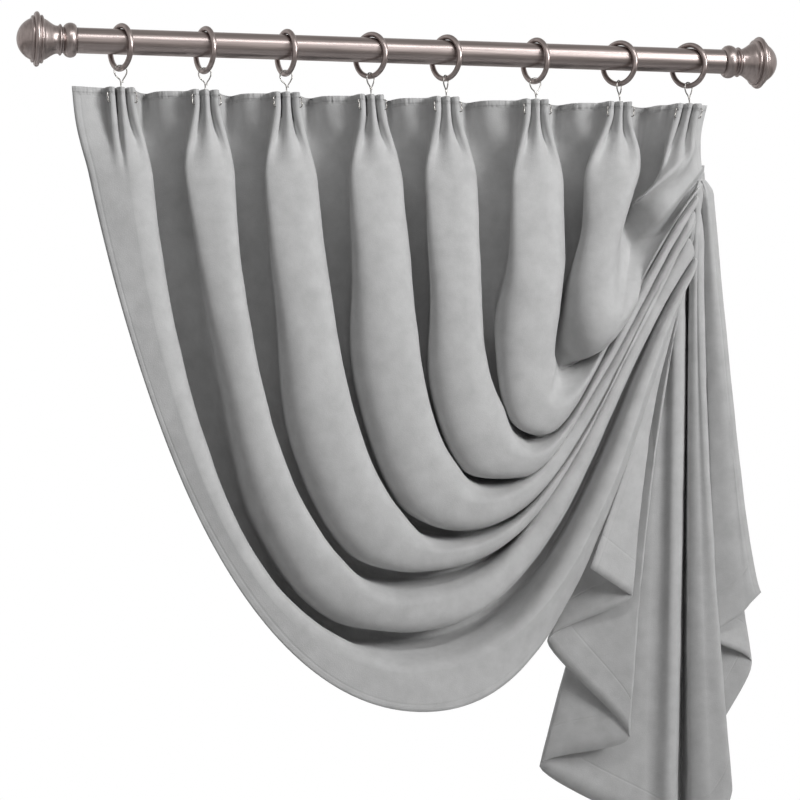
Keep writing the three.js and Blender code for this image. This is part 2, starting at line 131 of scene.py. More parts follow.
nickel_rod = brushed_nickel("satin nickel plate, brushed lengthwise", (0.03, 1, 1))
nickel_turned = brushed_nickel("satin nickel plate, brushed on the lathe", (1, 0.25, 0.25))
nickel_ring = brushed_nickel("satin nickel plate on bent wire", (0.4, 0.4, 0.4))
print("nickel materials:", nickel_rod.name, "/", nickel_turned.name, "/", nickel_ring.name)

# %% [markdown]
# ## Steel wire
#
# The pleat hooks are drawn steel wire with a bright zinc plate. Drawn wire is smooth, so its
# highlights are sharper than the nickel's.

# %% Steel wire material
steel_wire, tree, shader = new_material("bright zinc plate on drawn steel wire")
shader.inputs["Base Color"].default_value = colour("#908E8B")
shader.inputs["Metallic"].default_value = 1.0
shader.inputs["Roughness"].default_value = 0.22
print("wire material:", steel_wire.name)

# %% [markdown]
# ## The rod
#
# The rod is a steel tube, 28 mm across with a 1 mm wall. A cylinder without caps is added at
# its size and turned to lie along X, and Solidify grows its wall inwards.

# %% Model the rod
ROD_WALL = 1 * MM
SHARP_EDGE = math.radians(35)


def finish_piece(piece, name, material, slot, *nodes):
    """Names a piece, gives it its material and puts it in place of its CAD nodes."""
    bpy.ops.object.transform_apply(location=True, rotation=True, scale=True)
    piece.name = piece.data.name = name
    piece.data.materials.clear()
    piece.data.materials.append(material)
    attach(piece, "root")
    if nodes:
        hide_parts(*nodes)
    bpy.ops.object.select_all(action="DESELECT")


rod_low, rod_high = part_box("rod")
rod_radius = (rod_high.z - rod_low.z) / 2
rod_length = rod_high.x - rod_low.x
bpy.ops.mesh.primitive_cylinder_add(
    vertices=96, radius=rod_radius, depth=rod_length, end_fill_type="NOTHING",
    rotation=(0, math.pi / 2, 0))
rod = bpy.context.object
wall = rod.modifiers.new("wall", "SOLIDIFY")
wall.thickness = ROD_WALL
wall.offset = -1
bpy.ops.object.modifier_apply(modifier="wall")
bpy.ops.object.shade_smooth_by_angle(angle=SHARP_EDGE)
finish_piece(rod, "rod_tube", nickel_rod, "nickel", "rod")
print("rod:", round(rod_radius * 2 / MM, 1), "mm across,", round(rod_length / MM), "mm long")

# %% [markdown]
# ## The finials
#
# Each finial is turned from one piece. Its outline steps from a bead over a double neck into
# an ogee, then over three raised rings into a ball. An outline drawn as a chain of edges and
# spun round the rod's axis gives all of that in one go. The second finial is a mirrored copy.

# %% Outline of a finial
# Radius and distance from the rod's end, in millimetres
FINIAL_OUTLINE = [
    (12.7, -25), (12.7, 0.3), (14.2, 0.4), (16.4, 1.3), (18.1, 3.3), (18.9, 5.8), (19, 7.6),
    (18.7, 9.8), (17.8, 11.9), (16.4, 13.6), (14.9, 14.6), (14.2, 15.2), (14.3, 16.2),
    (15.6, 16.8), (16.8, 17.5), (17.2, 18.4), (16.8, 19.3), (15.7, 20), (15.2, 20.8),
    (15.2, 22), (15.5, 23.6), (16.3, 25.6), (17.7, 28), (19.3, 30.4), (20.9, 32.7),
    (22, 34.7), (22.6, 36.2), (23.4, 36.7), (25, 36.9), (26, 37.5), (26.3, 38.5),
    (26, 39.5), (25.4, 40.1), (25.5, 40.7), (27.6, 41), (29.2, 41.8), (29.9, 43.1),
    (29.9, 44.3), (29.3, 45.5), (27.9, 46.4), (26, 46.8), (25.2, 47.2), (25.5, 47.9),
    (25.5, 48.9), (24.7, 49.7), (23.2, 50), (22.4, 50.1),
]
BALL_RADIUS = 24
BALL_CENTRE = 41.4
BALL_STEPS = 18
ball_start = math.acos(FINIAL_OUTLINE[-1][0] / BALL_RADIUS)
for step in range(1, BALL_STEPS + 1):
    angle = ball_start + (math.pi / 2 - ball_start) * step / BALL_STEPS
    FINIAL_OUTLINE.append(
        (BALL_RADIUS * math.cos(angle), BALL_CENTRE + BALL_RADIUS * math.sin(angle)))
print("finial outline:", len(FINIAL_OUTLINE), "points")

# %% Spin the finials
MERGE_DISTANCE = 0.01 * MM
SHARP_TURNING = math.radians(50)


def spin_finial(side):
    """A finial at the rod's left (side -1) or right (side 1) end."""
    end = side * rod_length / 2
    outline = bpy.data.meshes.new("outline")
    points = [(end + side * along * MM, 0, radius * MM) for radius, along in FINIAL_OUTLINE]
    points[-1] = (points[-1][0], 0, 0)
    points.insert(0, (points[0][0], 0, 0))
    outline.from_pydata(points, [(i, i + 1) for i in range(len(points) - 1)], [])
    finial = bpy.data.objects.new("finial", outline)
    bpy.context.collection.objects.link(finial)
    bpy.context.view_layer.objects.active = finial
    finial.select_set(True)
    bpy.ops.object.mode_set(mode="EDIT")
    bpy.ops.mesh.select_all(action="SELECT")
    bpy.ops.mesh.spin(steps=96, angle=2 * math.pi, center=(0, 0, 0), axis=(1, 0, 0))
    bpy.ops.mesh.select_all(action="SELECT")
    bpy.ops.mesh.remove_doubles(threshold=MERGE_DISTANCE)
    bpy.ops.mesh.normals_make_consistent(inside=False)
    bpy.ops.object.mode_set(mode="OBJECT")
    bpy.ops.object.shade_smooth_by_angle(angle=SHARP_TURNING)
    return finial


for name, side in (("finial_left", -1), ("finial_right", 1)):
    finish_piece(spin_finial(side), name + "_turned", nickel_turned, "nickel", name)
    print(name, "spun")

# %% [markdown]
# ## The rings
#
# Eight rings of 6 mm wire hang on the rod, each swung a little about the vertical. The CAD
# ring has flat facets, so a rounder torus takes its place. Its centre and its turn are read
# from the CAD ring's own box.

# %% Model the rings
RING_RADIUS = 23.5 * MM
RING_WIRE = 3 * MM
RING_COUNT = 8


def ring_turn(low, high):
    """How far a ring is turned about the vertical, from its box across the rod."""
    return math.asin((high.x - low.x - 2 * RING_WIRE) / (2 * RING_RADIUS))


for number in range(1, RING_COUNT + 1):
    low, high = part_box(f"ring_{number}")
    bpy.ops.mesh.primitive_torus_add(
        location=(low + high) / 2,
        rotation=(math.pi / 2, 0, math.pi / 2 + ring_turn(low, high)),
        major_segments=96, minor_segments=24, major_radius=RING_RADIUS, minor_radius=RING_WIRE)
    bpy.ops.object.shade_smooth()
    finish_piece(bpy.context.object, f"ring_{number}_round", nickel_ring, "nickel",
                 f"ring_{number}")
print("rings:", RING_COUNT)

# %% [markdown]
# ## The pleat hooks
#
# Each pleat hangs by a hook of 1.5 mm steel wire: a pear-shaped eye round the ring, and a
# stem that goes down behind the middle finger of the pleat. A wire is easiest to draw as a
# curve with a round bevel, which is then turned into a mesh. The eyes are swung about the
# vertical by the angles of the CAD hooks.

# %% Model the hooks
# Millimetres, and degrees for the turns
HOOK_WIRE = 0.75
EYE_HALF_WIDTH = 7
EYE_HEIGHT = 17
STEM_SETBACK_Y = -3
STEM_DEPTH = 16
HEADER_TOP = -50
EYE_TURNS = (5, 5, 5, 42, 54, 15, 50, 35)


def wire_piece(points, radius, name):
    """A mesh of round wire through the points, which are in millimetres."""
    curve = bpy.data.curves.new(name, "CURVE")
    curve.dimensions = "3D"
    curve.resolution_u = 8
    curve.bevel_depth = radius * MM
    curve.bevel_resolution = 3
    curve.use_fill_caps = True
    spline = curve.splines.new("BEZIER")
    spline.bezier_points.add(len(points) - 1)
    for knot, point in zip(spline.bezier_points, points):
        knot.co = Vector(point) * MM
        knot.handle_left_type = knot.handle_right_type = "AUTO"
    piece = bpy.data.objects.new(name, curve)
    bpy.context.collection.objects.link(piece)
    bpy.context.view_layer.objects.active = piece
    piece.select_set(True)
    bpy.ops.object.convert(target="MESH")
    piece = bpy.context.object
    bpy.ops.object.mode_set(mode="EDIT")
    bpy.ops.mesh.select_all(action="SELECT")
    bpy.ops.mesh.remove_doubles(threshold=MERGE_DISTANCE)
    bpy.ops.mesh.normals_make_consistent(inside=False)
    bpy.ops.object.mode_set(mode="OBJECT")
    bpy.ops.object.shade_smooth()
    return piece


def hook_points(pleat_x, eye_top, turn, lean):
    """The wire of one hook: up the stem, round the eye and down beside the stem again."""
    foot = eye_top - EYE_HEIGHT
    wide = EYE_HALF_WIDTH
    eye = [
        (-0.6, foot + 1), (-0.75 * wide, foot + 5.5), (-wide, eye_top - 6.5),
        (-0.75 * wide, eye_top - 1.8), (0, eye_top), (0.75 * wide, eye_top - 1.8),
        (wide, eye_top - 6.5), (0.75 * wide, foot + 5.5), (2.6, foot + 1), (2.2, foot - 2)]
    stem = [(lean * STEM_DEPTH, STEM_SETBACK_Y, HEADER_TOP - STEM_DEPTH),
            (0, STEM_SETBACK_Y, HEADER_TOP)]
    route = stem + [(s * math.cos(turn), s * math.sin(turn), z) for s, z in eye]
    return [(pleat_x + x, y, z) for x, y, z in route]


# %% [markdown]
# ## The shape of the cloth
#
# A curtain is one flat cloth, but its folds give it its shape. So it is drawn as 17 fold
# lines, ridges and valleys in turn, from the leading edge to the fixed edge. Each line hangs
# from the header, falls to its low point, rises to the gather, turns over there and falls
# again as the tail. The cloth is a smooth surface through all of them. A simulation could
# hang a cloth too, but it would not put its folds where these ones lie.
#
# Most numbers in the table of fold lines were made by separate programs and not worked out
# here. Points were marked on the photographed folds, one program turned them into
# millimetres, and others fitted the pulls of the curves to them. Depths were judged, and
# some rows were corrected afterwards.

# %% The fold lines
# Millimetres. A line hangs from head (x, y), leans sideways as it falls to its low point
# (x, y, z) and rises to the gather (x, y, z). The pairs into, outof and arrive pull the
# curve (x, z) before the low point, after it and before the gather. The tail goes through
# top, mid and hem (x, y, z).
#   fall       how strongly the line keeps its first direction
#   foldY      depth of the fold where it is fully formed, and armY half way up the arm
#   roundness  how much of its roundness the fold keeps about its low point, 1 if not given
#   spread     how much wider than the others the fold is above it, 1 if not given
FOLD_LINES = [
    {"name": "leading edge", "head": (-378, -1), "lean": 0.18, "fall": 338, "foldY": -26,
     "low": (8, -52, -736), "into": (-203, 0), "outof": (201, 0), "armY": 4,
     "gather": (322, -10, -262), "arrive": (-58, -156),
     "top": (315, 2, -282), "mid": (273, 0, -415), "hem": (211, -4, -583)},
    {"name": "ridge 1", "head": (-325, -8), "lean": 0.08, "fall": 399, "foldY": -32,
     "low": (-8, -48, -694), "into": (-157, 0), "outof": (212, 0), "armY": -38,
     "gather": (332, -12, -248), "arrive": (-91, -153),
     "top": (321, 4, -276), "mid": (286, 5, -425), "hem": (265, 6, -617)},
    {"name": "valley 1", "head": (-286, 38), "lean": 0.11, "fall": 410, "foldY": 44,
     "low": (-3, 25, -662), "into": (-148, 0), "outof": (204, 0), "armY": 16,
     "gather": (335, 8, -227), "arrive": (-112, -166),
     "top": (326, 12, -270), "mid": (275, 34, -449), "hem": (176, 50, -671)},
    {"name": "ridge 2", "head": (-232, -8), "lean": 0.06, "fall": 251, "foldY": -32,
     "low": (-14, -38, -620), "into": (-145, 0), "outof": (173, 0), "armY": -25,
     "gather": (331, -10, -217), "arrive": (-143, -223),
     "top": (330, 13, -266), "mid": (292, 17, -483), "hem": (265, 18, -781)},
    {"name": "valley 2", "head": (-190, 38), "lean": 0.1, "fall": 195, "foldY": 44,
     "low": (-5, 26, -594), "into": (-137, 0), "outof": (186, 0), "armY": 10,
     "gather": (329, 8, -204), "arrive": (-127, -220),
     "top": (333, 26, -261), "mid": (265, 56, -485), "hem": (171, 64, -818)},
    {"name": "ridge 3", "head": (-141, -8), "lean": 0.04, "fall": 177, "foldY": -32,
     "low": (27, -36, -562), "into": (-129, 0), "outof": (149, 0), "armY": -20,
     "gather": (333, -10, -193), "arrive": (-110, -170),
     "top": (324, 20, -274), "mid": (303, 34, -485), "hem": (291, 38, -887)},
    {"name": "valley 3", "head": (-99, 38), "lean": 0.14, "fall": 140, "foldY": 44,
     "low": (56, 28, -545), "into": (-129, 0), "outof": (130, 0), "armY": 10,
     "gather": (335, 8, -186), "arrive": (-75, -144),
     "top": (326, 12, -275), "mid": (325, 20, -484), "hem": (317, 22, -900)},
    {"name": "ridge 4", "head": (-45, -8), "lean": 0.08, "fall": 100, "foldY": -32,
     "low": (76, -34, -508), "into": (-118, 0), "outof": (87, 0), "armY": -15,
     "gather": (334, -10, -182), "arrive": (-105, -202),
     "top": (345, 44, -273), "mid": (348, 60, -486), "hem": (345, 66, -905)},
    {"name": "valley 4", "head": (-9, 38), "lean": 0.18, "fall": 195, "foldY": 44,
     "low": (113, 30, -481), "into": (-108, 0), "outof": (67, 0), "armY": 10,
     "gather": (335, 8, -171), "arrive": (-83, -149),
     "top": (340, 16, -228), "mid": (339, 22, -483), "hem": (344, 24, -896)},
    {"name": "ridge 5", "head": (42, -8), "lean": 0.06, "fall": 165, "foldY": -32,
     "low": (129, -30, -457), "into": (-99, 10), "outof": (62, -7), "armY": -8,
     "gather": (337, -8, -166), "arrive": (-72, -98),
     "top": (343, 6, -206), "mid": (348, 13, -484), "hem": (364, 12, -889)},
    {"name": "valley 5", "head": (86, 38), "lean": 0.22, "fall": 150, "foldY": 44,
     "low": (140, 30, -427), "into": (-54, 69), "outof": (65, -12), "armY": 12,
     "gather": (340, 8, -155), "arrive": (-81, -114),
     "top": (349, 6, -211), "mid": (359, 9, -483), "hem": (387, 8, -845)},
    {"name": "ridge 6", "head": (147, -8), "lean": 0.03, "fall": 176, "foldY": -32,
     "low": (162, -28, -401), "into": (-56, -10), "outof": (50, -8), "armY": 2,
     "gather": (341, 0, -151), "arrive": (-72, -86),
     "top": (358, 26, -199), "mid": (368, 40, -485), "hem": (375, 44, -796)},
    {"name": "valley 6", "head": (195, 38), "lean": 0.13, "fall": 200, "foldY": 44,
     "roundness": 0.3,
     "low": (184, 30, -355), "into": (-27, 72), "outof": (49, -4), "armY": 16,
     "gather": (346, 10, -147), "arrive": (-50, -71),
     "top": (359, 22, -181), "mid": (392, 32, -485), "hem": (421, 32, -702)},
    {"name": "ridge 7", "head": (247, -8), "lean": -0.05, "fall": 60, "foldY": -32,
     "roundness": 0.65, "spread": 1.35,
     "low": (236, -30, -304), "into": (-52, 0), "outof": (31, 8), "armY": 12,
     "gather": (345, 8, -144), "arrive": (-30, -64),
     "top": (354, 14, -176), "mid": (366, 22, -485), "hem": (372, 24, -670)},
    {"name": "valley 7", "head": (300, 38), "lean": 0.02, "fall": 110, "foldY": 40,
     "roundness": 0.3,
     "low": (271, 34, -215), "into": (-25, 70), "outof": (8, -8), "armY": 18,
     "gather": (348, 12, -140), "arrive": (-15, -41),
     "top": (358, 6, -173), "mid": (387, 11, -485), "hem": (402, 12, -639)},
    {"name": "ridge 8", "head": (331, -8), "lean": -0.25, "fall": 60, "foldY": -24,
     "roundness": 0.3, "spread": 1.3,
     "low": (304, -6, -170), "into": (-15, 40), "outof": (8, -8), "armY": 15,
     "gather": (348, 10, -138), "arrive": (-13, -20),
     "top": (360, 9, -164), "mid": (394, 10, -485), "hem": (413, 11, -626)},
    {"name": "fixed edge", "head": (357, 10), "lean": -0.04, "fall": 12, "foldY": 5,
     "roundness": 0.3,
     "low": (352, 5, -120), "into": (0, 10), "outof": (0, -4), "armY": 9,
     "gather": (355, 12, -134), "arrive": (-1, 4),
     "top": (367, 13, -159), "mid": (401, 13, -485), "hem": (425, 14, -616)},
]
LINE_COUNT = len(FOLD_LINES)
print("fold lines:", LINE_COUNT)

# %% [markdown]
# Three more tables shape the cloth. BREADTHS says how round the cloth goes over its fold
# lines. A pinch pleat is three fingers of cloth side by side, caught near the header, and
# below them the fingers open into one round fold: PINCH draws them. STRETCHES says how many
# points the mesh has along each stretch of the fold lines.

# %% Pinches and rows
# Millimetres: the straight top of the header, how far down the fingers are closed and over
# what length they open, and how far they stand in front of the rod's axis and behind it
HEADER_BAND = 30
PINCH_LENGTH = 12
PINCH_FADE = 84
FINGER_FRONT = -8
FINGER_BACK = 8
# How round the fingers and the creases between them are
FINGER_BREADTH = 2.2
CREASE_BREADTH = 0.5
# How strongly the cloth keeps its direction over a ridge and over a valley, on the side
# towards the leading edge (outer) and towards the fixed edge (inner), and how far it may
# turn out of the curtain's own plane there. Stage 0 is the header, 1 the low points, 2 the
# gather, 3 the top of the tail and 4 its hem.
BREADTHS = [
    {"stage": 0, "ridge": (2.65, 2.4), "valley": (3, 2.2), "turned": 0},
    {"stage": 0.3, "ridge": (2.3, 2.2), "valley": (1.7, 1.7), "turned": 0},
    {"stage": 0.55, "ridge": (2.7, 2.2), "valley": (0.6, 1.7), "turned": 0},
    {"stage": 0.8, "ridge": (2.7, 2.2), "valley": (0.6, 1.7), "turned": 0},
    {"stage": 0.97, "ridge": (2.8, 0.8), "valley": (1.8, 0.3), "turned": 0},
    {"stage": 1.2, "ridge": (2.9, 1), "valley": (1.8, 0.3), "turned": 0},
    {"stage": 1.5, "ridge": (2.9, 2.4), "valley": (1.2, 0.6), "turned": 0},
    {"stage": 2, "ridge": (2.4, 2.4), "valley": (0.8, 0.8), "turned": 0},
    {"stage": 3, "ridge": (1.1, 1.1), "valley": (1.1, 1.1), "turned": 0},
    {"stage": 4, "ridge": (0.55, 0.55), "valley": (0.55, 0.55), "turned": 0.4},
]
# Place in the half pleat (0 at its ridge, 1 at its valley), distance sideways, depth
PINCH = [(0, 0, 0), (0.1, 5.5, 1), (0.21, 11, 0), (0.38, 16.5, 1)]
# Name, number of rows, and their crowding: above 1 they are closer at its start
STRETCHES = [("header", 10, 1), ("fall", 72, 1.2), ("arm", 54, 1), ("turn", 16, 1),
             ("tail", 44, 1)]
COLUMNS_PER_LINE = 16
RIDGE_CROWDING = 1.5
# Millimetres: the longest run between lines that counts, how straight the header goes back
# behind a finger, and how far the valleys face the leading edge
LONGEST_RUN = 95
HEADER_DROP = 60
VALLEY_SLOPE = 100
# Shares of the fall at which the valleys' slope, the roundness and the spread change
SLOPE_TO, SLOPE_FADE = 0.2, 0.3
LOW_FROM, LOW_FADE = 0.4, 0.5
SPREAD_TO = 0.25
# Share of the fall at which a fold is fully formed, and of the arm at which armY holds
FOLD_FORMED = 0.4
ARM_MIDDLE = 0.5
# Millimetres: how far the cloth runs on past the gather, rises there and drops to the tail
TURN_REACH = 9
TURN_RISE = 2
TURN_DROP = 18


def smooth(share):
    """The share from 0 to 1, with a gentle start and end."""
    share = np.clip(share, 0, 1)
    return share * share * (3 - 2 * share)


def mix(a, b, share):
    """A value between a and b."""
    return a + (b - a) * share


def bezier(points, t):
    """A point on the cubic curve with these ends and pulls."""
    a, b, c, d = (np.array(point, float) for point in points)
    return (1 - t) ** 3 * a + 3 * (1 - t) ** 2 * t * b + 3 * (1 - t) * t * t * c + t ** 3 * d


def hermite(start, end, start_pull, end_pull, share):
    """A smooth curve from start to end that leaves and arrives along its pulls."""
    square, cube = share * share, share ** 3
    return ((2 * cube - 3 * square + 1) * start + (3 * square - 2 * cube) * end
            + (cube - 2 * square + share) * start_pull + (cube - square) * end_pull)


# %% A point of a fold line
def line_point(line, stretch, t):
    """A point of one fold line on one of its stretches, at t from 0 to 1."""
    head_x, head_y = line["head"]
    band_x = head_x + line["lean"] * HEADER_BAND
    band_z = HEADER_TOP - HEADER_BAND
    low_x, low_y, low_z = line["low"]
    gather_x, gather_y, gather_z = line["gather"]
    if stretch == "header":
        depth = HEADER_BAND * t
        return np.array([head_x + line["lean"] * depth, head_y, HEADER_TOP - depth])
    if stretch == "fall":
        point = bezier([
            (band_x, 0, band_z), (band_x + line["lean"] * line["fall"], 0, band_z - line["fall"]),
            (low_x + line["into"][0], 0, low_z + line["into"][1]), (low_x, 0, low_z)], t)
        formed, after = t / FOLD_FORMED, (t - FOLD_FORMED) / (1 - FOLD_FORMED)
        point[1] = (mix(head_y, line["foldY"], smooth(formed)) if formed < 1
                    else mix(line["foldY"], low_y, smooth(after)))
        return point
    if stretch == "arm":
        point = bezier([
            (low_x, 0, low_z), (low_x + line["outof"][0], 0, low_z + line["outof"][1]),
            (gather_x + line["arrive"][0], 0, gather_z + line["arrive"][1]),
            (gather_x, 0, gather_z)], t)
        risen, after = t / ARM_MIDDLE, (t - ARM_MIDDLE) / (1 - ARM_MIDDLE)
        point[1] = (mix(low_y, line["armY"], smooth(risen)) if risen < 1
                    else mix(line["armY"], gather_y, smooth(after)))
        return point
    if stretch == "turn":
        top_x, top_y, top_z = line["top"]
        reach = TURN_REACH / math.hypot(*line["arrive"])
        return bezier([
            line["gather"],
            (gather_x - line["arrive"][0] * reach, gather_y + TURN_RISE,
             gather_z - line["arrive"][1] * reach),
            (top_x, top_y, top_z + TURN_DROP), line["top"]], t)
    top, mid, hem = (np.array(line[part], float) for part in ("top", "mid", "hem"))
    pull = 2 * mid - (top + hem) / 2
    return (1 - t) ** 2 * top + 2 * (1 - t) * t * pull + t * t * hem


# %% The pinched header
def pinch_steps(ridge, side):
    """Place, x, y and breadth of a pleat's fingers and creases on one side of its ridge."""
    head_x, head_y = FOLD_LINES[ridge]["head"]
    edge_x, edge_y = FOLD_LINES[ridge + side]["head"]
    steps = [(place, head_x + side * away, mix(FINGER_FRONT, FINGER_BACK, depth),
              mix(FINGER_BREADTH, CREASE_BREADTH, depth)) for place, away, depth in PINCH]
    return np.array(steps + [(1, edge_x, edge_y, CREASE_BREADTH)])


def pinch_point(across, depth):
    """The cloth of the pinched header at a place across it, depth below its top."""
    nearest = round(across)
    ridge = nearest if nearest % 2 else nearest + (1 if across >= nearest else -1)
    ridge = min(LINE_COUNT - 2, max(1, ridge))
    side = 1 if across >= ridge else -1
    steps = pinch_steps(ridge, side)
    place = abs(across - ridge)
    i = min(len(PINCH) - 1, int(np.searchsorted(steps[:, 0], place, side="right")) - 1)
    start, end = steps[i], steps[i + 1]
    run = np.array([end[1] - start[1], 0])
    leaving, arriving = run * start[3], run * end[3]
    if i == len(PINCH) - 1 and 1 <= ridge + side < LINE_COUNT - 1:
        leaving = np.array([0, HEADER_DROP])
        arriving = np.array([arriving[0], -side * VALLEY_SLOPE])
    x, y = hermite(start[1:3], end[1:3], leaving, arriving,
                   (place - start[0]) / (end[0] - start[0]))
    return np.array([x + FOLD_LINES[ridge]["lean"] * depth, y, HEADER_TOP - depth])


# %% The cloth's surface
def breadth_at(stretch, t):
    """The row of BREADTHS for a place along the fold lines, between its two nearest rows."""
    stage = {"header": 0, "fall": t, "arm": 1 + t, "turn": 2 + t, "tail": 3 + t}[stretch]
    later = next(i for i, row in enumerate(BREADTHS) if row["stage"] >= stage)
    a, b = BREADTHS[max(0, later - 1)], BREADTHS[later]
    share = smooth((stage - a["stage"]) / max(b["stage"] - a["stage"], 1e-9))
    return {key: mix(np.array(a[key], float), np.array(b[key], float), share)
            for key in ("ridge", "valley", "turned")}


def line_pulls(lines, stretch, t):
    """How the cloth runs over each fold line, on its outer and on its inner side."""
    breadth = breadth_at(stretch, t)
    low = smooth((t - LOW_FROM) / LOW_FADE) if stretch == "fall" else float(stretch == "arm")
    slope = {"header": 1, "fall": 1 - smooth((t - SLOPE_TO) / SLOPE_FADE)}.get(stretch, 0)
    high = {"header": 1,
            "fall": 1 - smooth((t - SPREAD_TO) / (1 - SPREAD_TO))}.get(stretch, 0)
    pulls = []
    for index, line in enumerate(FOLD_LINES):
        before, after = lines[max(0, index - 1)], lines[min(LINE_COUNT - 1, index + 1)]
        run = (after - before) * (1, breadth["turned"], 1)
        run *= min(1, LONGEST_RUN / np.linalg.norm(run))
        run *= mix(1, line.get("roundness", 1), low) * mix(1, line.get("spread", 1), high)
        outer, inner = breadth["ridge" if index % 2 else "valley"]
        if index % 2 == 0:
            outer, inner = inner, outer
        pulls.append([run * outer, run * inner])
        if 0 < index < LINE_COUNT - 1 and index % 2 == 0:
            pulls[-1][0][1] -= VALLEY_SLOPE * slope
            pulls[-1][1][1] -= VALLEY_SLOPE * slope
    strip = lines[1] - lines[0]
    pulls[0], pulls[1] = (strip, strip), (strip, pulls[1][1])
    return pulls


def cloth_row(stretch, t, places):
    """One row of points across the whole cloth."""
    lines = np.array([line_point(line, stretch, t) for line in FOLD_LINES])
    pulls = line_pulls(lines, stretch, t)
    row = []
    for across in places:
        i = min(LINE_COUNT - 2, int(across))
        point = hermite(lines[i], lines[i + 1], pulls[i][1], pulls[i + 1][0], across - i)
        depth = HEADER_TOP - point[2]
        pinch = 1 - smooth((depth - PINCH_LENGTH) / PINCH_FADE)
        if stretch in ("header", "fall") and pinch > 0:
            pinched = pinch_point(across, depth)
            point = np.array([*mix(point[:2], pinched[:2], pinch), point[2]])
        row.append(point)
    return row


rows = []
for stretch, count, spacing in STRETCHES:
    rows += [(stretch, (i / count) ** spacing) for i in range(1 if rows else 0, count + 1)]
half_pleat = (np.arange(COLUMNS_PER_LINE) / COLUMNS_PER_LINE) ** RIDGE_CROWDING
places = np.sort(np.concatenate(
    [np.append(ridge - half_pleat[1:], ridge + half_pleat)
     for ridge in range(1, LINE_COUNT, 2)] + [np.arange(0, LINE_COUNT, 2)]))
cloth = np.array([cloth_row(stretch, t, places) for stretch, t in rows])
along = np.linalg.norm(np.diff(cloth, axis=0), axis=2)
sideways = np.linalg.norm(np.diff(cloth, axis=1), axis=2)
print("cloth grid:", cloth.shape[:2], "longest line", round(along.sum(axis=0).max()), "mm,",
      "widest row", round(sideways.sum(axis=1).max()), "mm")

# %% [markdown]
# The surface becomes a mesh of four-sided faces. Its UV map holds real lengths along the
# cloth in metres: U runs from the leading edge, V from the top of the header. A second map
# holds the lengths from the other side and from the hem. The seams follow both.

# %% Make the cloth mesh
HEM_MAP = "from hem"
bpy.ops.mesh.primitive_grid_add(
    x_subdivisions=len(places) - 1, y_subdivisions=len(rows) - 1, size=2)
curtain = bpy.context.object
flat = np.array([vertex.co[:] for vertex in curtain.data.vertices])
column = np.rint((flat[:, 0] + 1) / 2 * (len(places) - 1)).astype(int)
level = np.rint((1 - flat[:, 1]) / 2 * (len(rows) - 1)).astype(int)
shaped = cloth[level, column] * MM
curtain.data.vertices.foreach_set("co", shaped.ravel())
curtain.data.update()
down = np.vstack([np.zeros(len(places)), along.cumsum(axis=0)]) * MM
over = np.hstack([np.zeros((len(rows), 1)), sideways.cumsum(axis=1)]) * MM
uv = curtain.data.uv_layers.active.data
hem_uv = curtain.data.uv_layers.new(name=HEM_MAP).data
for loop in curtain.data.loops:
    row, col = level[loop.vertex_index], column[loop.vertex_index]
    uv[loop.index].uv = (over[row, col], down[row, col])
    hem_uv[loop.index].uv = (over[row, -1] - over[row, col], down[-1, col] - down[row, col])
print("cloth mesh:", len(curtain.data.vertices), "points")

# %% [markdown]
# The swept cloth isn't perfectly smooth. A displacement of a millimetre or two with a soft
# cloud pattern gives the slight unevenness of a heavy cloth that was gathered by hand. Then
# the surface gets the cloth's thickness, the same as the CAD cloth's.

# %% Soften and thicken the cloth
CLOTH_THICKNESS = 2 * MM
CLOUD_SIZE = 60 * MM
CLOUD_DEPTH = 2.5 * MM
clouds = bpy.data.textures.new("soft unevenness", "CLOUDS")
clouds.noise_scale = CLOUD_SIZE
displace = curtain.modifiers.new("uneven", "DISPLACE")
displace.texture = clouds
displace.texture_coords = "LOCAL"
displace.strength = CLOUD_DEPTH
displace.mid_level = 0.5
bpy.ops.object.modifier_apply(modifier="uneven")
solidify = curtain.modifiers.new("thickness", "SOLIDIFY")
solidify.thickness = CLOTH_THICKNESS
solidify.offset = 0
bpy.ops.object.modifier_apply(modifier="thickness")
bpy.ops.object.shade_smooth()
print("cloth:", len(curtain.data.polygons), "faces")

# %% [markdown]
# ## Velvet
#
# Blackout curtain velvet is a knitted polyester base with a short cut pile. The pile stands
# up, so the cloth has no gloss: it looks matt from the front, and its rims catch a soft
# light, which the sheen gives. The pile leans here one way and there another, in patches
# some 20 mm wide, and that shows as a faint mottle. Single tufts are 0.3 mm wide and too
# fine to show, so the grain is drawn 1.2 mm wide.
#
# A seam runs 7 mm below the header's top, the side hems are turned 8 mm and the hem 40 mm.
# Each is a groove some 4 mm wide. The cloth above the header's seam is puckered, every 5 mm
# or so.

# %% Velvet material
PILE_GRAIN = 1.2 * MM
NAP_PATCH = 20 * MM
SEAM_WIDTH = 4 * MM
# The map, its axis, the seam's distance in metres and how far the groove is pressed in
SEAMS = [
    ("UVMap", "Y", 0.007, 1),
    ("UVMap", "X", 0.008, 0.3),
    (HEM_MAP, "Y", 0.04, 0.3),
    (HEM_MAP, "X", 0.008, 0.3),
]
PUCKER = 5 * MM
PUCKERED = 9 * MM
velvet, tree, shader = new_material("polyester velvet, short cut pile, pale grey")
place = add_node(tree, "ShaderNodeTexCoord").outputs["Object"]
nap = add_node(tree, "ShaderNodeTexNoise", inputs={
    "Vector": place, "Scale": 1 / NAP_PATCH, "Detail": 4, "Roughness": 0.6})
pile_colour = ramp(tree, nap.outputs["Fac"], [(0.3, "#B2B2B2"), (0.7, "#BFBFBF")])
grain = add_node(tree, "ShaderNodeTexNoise", inputs={
    "Vector": place, "Scale": 1 / PILE_GRAIN, "Detail": 2})
pile_bump = add_node(tree, "ShaderNodeBump", inputs={
    "Height": grain.outputs["Fac"], "Strength": 0.35, "Distance": 0.6 * MM})
seams = None
